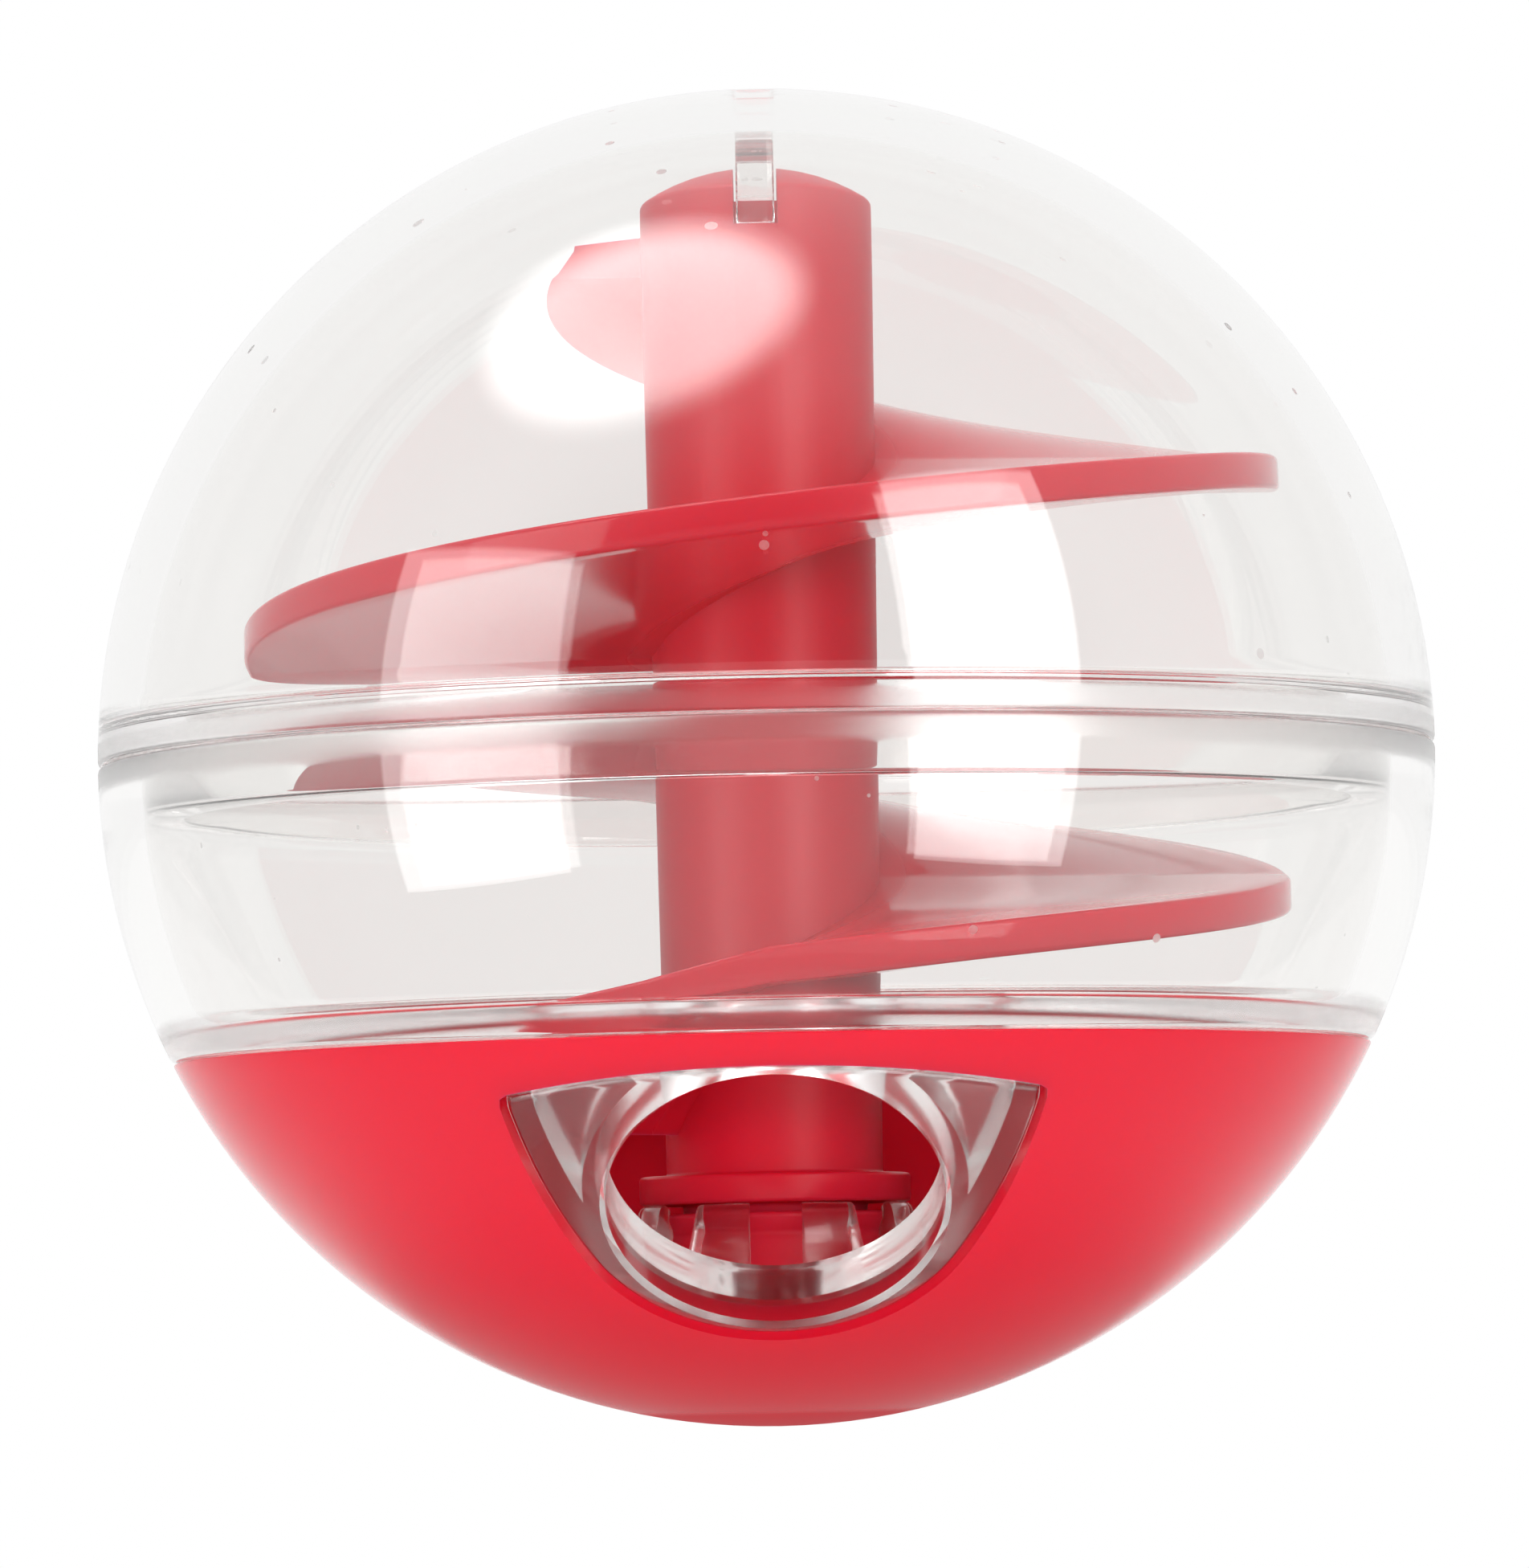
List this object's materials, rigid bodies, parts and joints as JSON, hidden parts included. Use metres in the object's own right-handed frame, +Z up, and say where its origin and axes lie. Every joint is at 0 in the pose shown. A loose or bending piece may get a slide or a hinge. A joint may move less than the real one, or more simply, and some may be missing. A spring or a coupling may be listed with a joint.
{
  "type": "treat dispensing ball",
  "caption": "Pet toy ball with a clear twist dome, a red lower cover, a red spiral ramp inside and a round outlet in a half-moon window that drops dry treats as it rolls.",
  "frame": {"origin": "centre of the ball", "axes": "+Z up along the spiral's column, -Y to the front where the outlet looks, +X to the right seen from the front"},
  "size_m": [0.07, 0.07, 0.07],
  "materials": {
    "clear_plastic": "clear polished injection moulding with fine scuffs",
    "red_plastic": "glossy red injection moulding"
  },
  "bodies": {
    "base": {"cup": "clear_plastic", "cover": "red_plastic"},
    "spiral": {"spiral": "red_plastic"},
    "dome": {"dome": "clear_plastic"}
  },
  "joints": [
    {"name": "spiral_turn", "type": "hinge", "parent": "base", "child": "spiral", "pos_m": [0, 0, -0.0234], "axis": [0, 0, 1], "continuous": true},
    {"name": "dome_lift", "type": "slide", "parent": "spiral", "child": "dome", "axis": [0, 0, 1], "range_m": [0, 0.045]}
  ]
}
